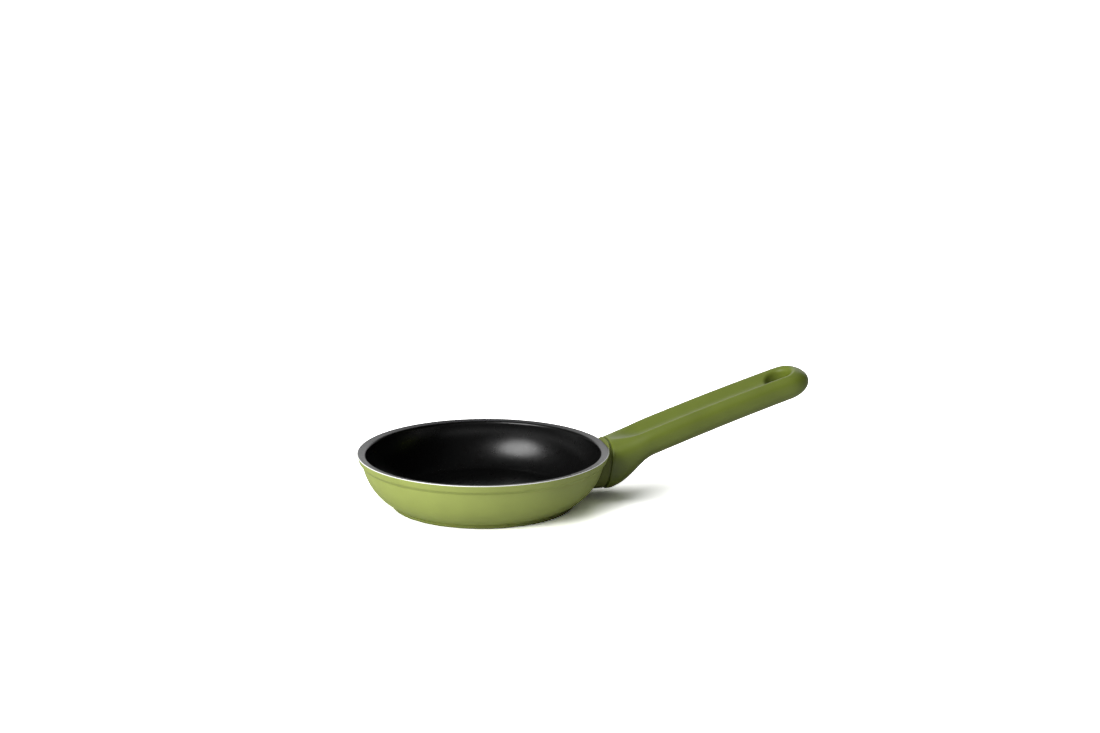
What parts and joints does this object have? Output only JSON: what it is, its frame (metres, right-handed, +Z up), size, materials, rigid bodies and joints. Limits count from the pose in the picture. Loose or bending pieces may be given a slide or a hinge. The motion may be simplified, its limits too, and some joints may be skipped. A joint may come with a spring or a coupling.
{
  "type": "frying pan",
  "caption": "Small non-stick frying pan with a flared pouring rim and a rising moulded grip with a thumb channel and a hanging hole.",
  "frame": {"origin": "centre of the pan's underside, on the plane the pan stands on", "axes": "+X from the pan's axis out along the grip, +Z up out of the bowl, +Y to the left when seen from the pan along the grip"},
  "size_m": [0.2957, 0.16, 0.076],
  "materials": {
    "body_aluminium": "satin moss-green stove enamel outside, black non-stick coating inside, bare turned edge at the rim",
    "disc_steel": "pressed and turned stainless steel",
    "boss_aluminium": "as forged, welded to the wall",
    "guard_metal": "cast aluminium in the same green enamel",
    "grip_plastic": "moulded heat-proof plastic with a soft-touch moss-green skin",
    "plated_steel": "zinc-plated steel",
    "spring_steel": "blued spring steel"
  },
  "bodies": {
    "root": {"pan_body": "body_aluminium", "induction_disc": "disc_steel", "handle_boss": "boss_aluminium", "threaded_bush": "plated_steel", "flame_guard": "guard_metal", "handle_grip": "grip_plastic", "clamp_sleeve": "plated_steel", "flat_washer": "plated_steel", "spring_washer": "spring_steel", "handle_screw": "plated_steel"}
  },
  "joints": []
}
